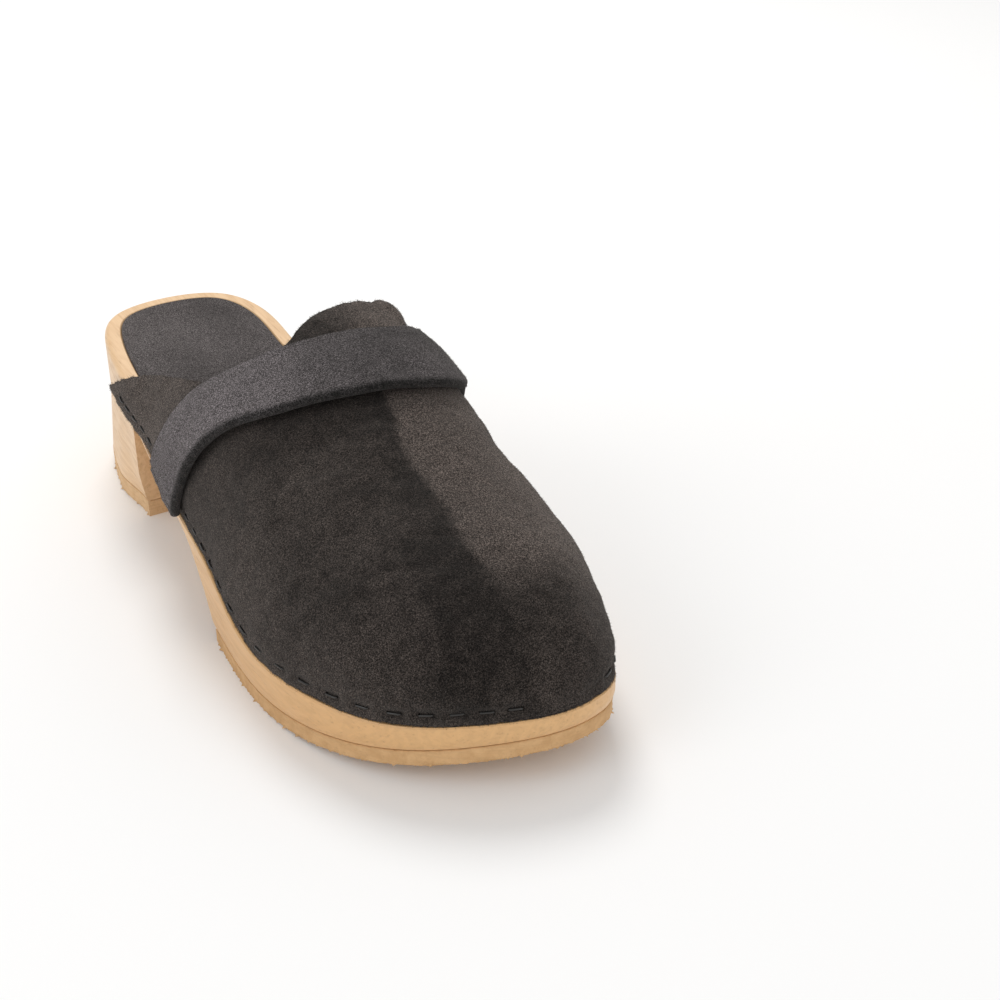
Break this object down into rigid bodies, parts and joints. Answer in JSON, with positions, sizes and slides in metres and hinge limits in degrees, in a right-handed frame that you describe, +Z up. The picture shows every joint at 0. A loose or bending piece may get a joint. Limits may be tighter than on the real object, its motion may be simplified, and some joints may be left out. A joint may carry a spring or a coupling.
{
  "type": "wooden clog",
  "caption": "Wooden-soled clog for the right foot, with a block heel, a closed-toe suede upper stapled round its edge, a strap over the instep and rubber treads.",
  "frame": {"origin": "middle of the bounding box on the floor, with the clog standing on its heel tip and forefoot tread", "axes": "+Y along the clog towards the heel, so the toe points to -Y; +X towards the inner side of the foot; +Z up"},
  "size_m": [0.0923, 0.25, 0.0854],
  "materials": {
    "wood": "smooth, lightly waxed",
    "suede": "suede nap",
    "strap_suede": "suede nap",
    "sock_suede": "fine suede",
    "stiffener": "matt board",
    "rubber": "matt crepe",
    "staple_steel": "dull"
  },
  "bodies": {
    "root": {"wooden_sole": "wood", "outsole_forefoot": "rubber", "heel_tip": "rubber", "insole_sock": "sock_suede", "upper_vamp": "suede", "toe_puff": "stiffener", "strap": "strap_suede", "staple_01": "staple_steel", "staple_02": "staple_steel", "staple_03": "staple_steel", "staple_04": "staple_steel", "staple_05": "staple_steel", "staple_06": "staple_steel", "staple_07": "staple_steel", "staple_08": "staple_steel", "staple_09": "staple_steel", "staple_10": "staple_steel", "staple_11": "staple_steel", "staple_12": "staple_steel", "staple_13": "staple_steel", "staple_14": "staple_steel", "staple_15": "staple_steel", "staple_16": "staple_steel", "staple_17": "staple_steel", "staple_18": "staple_steel", "staple_19": "staple_steel", "staple_20": "staple_steel", "staple_21": "staple_steel", "staple_22": "staple_steel", "staple_23": "staple_steel", "staple_24": "staple_steel", "staple_25": "staple_steel", "staple_26": "staple_steel", "staple_27": "staple_steel", "staple_28": "staple_steel", "staple_29": "staple_steel", "staple_30": "staple_steel", "staple_31": "staple_steel", "staple_32": "staple_steel", "staple_33": "staple_steel", "staple_34": "staple_steel", "staple_35": "staple_steel", "staple_36": "staple_steel", "staple_37": "staple_steel", "staple_38": "staple_steel", "staple_39": "staple_steel", "staple_40": "staple_steel", "staple_41": "staple_steel", "staple_42": "staple_steel", "staple_43": "staple_steel", "staple_44": "staple_steel", "staple_45": "staple_steel", "staple_46": "staple_steel", "staple_47": "staple_steel", "staple_48": "staple_steel", "staple_49": "staple_steel", "staple_50": "staple_steel", "staple_51": "staple_steel", "staple_52": "staple_steel"}
  },
  "joints": []
}
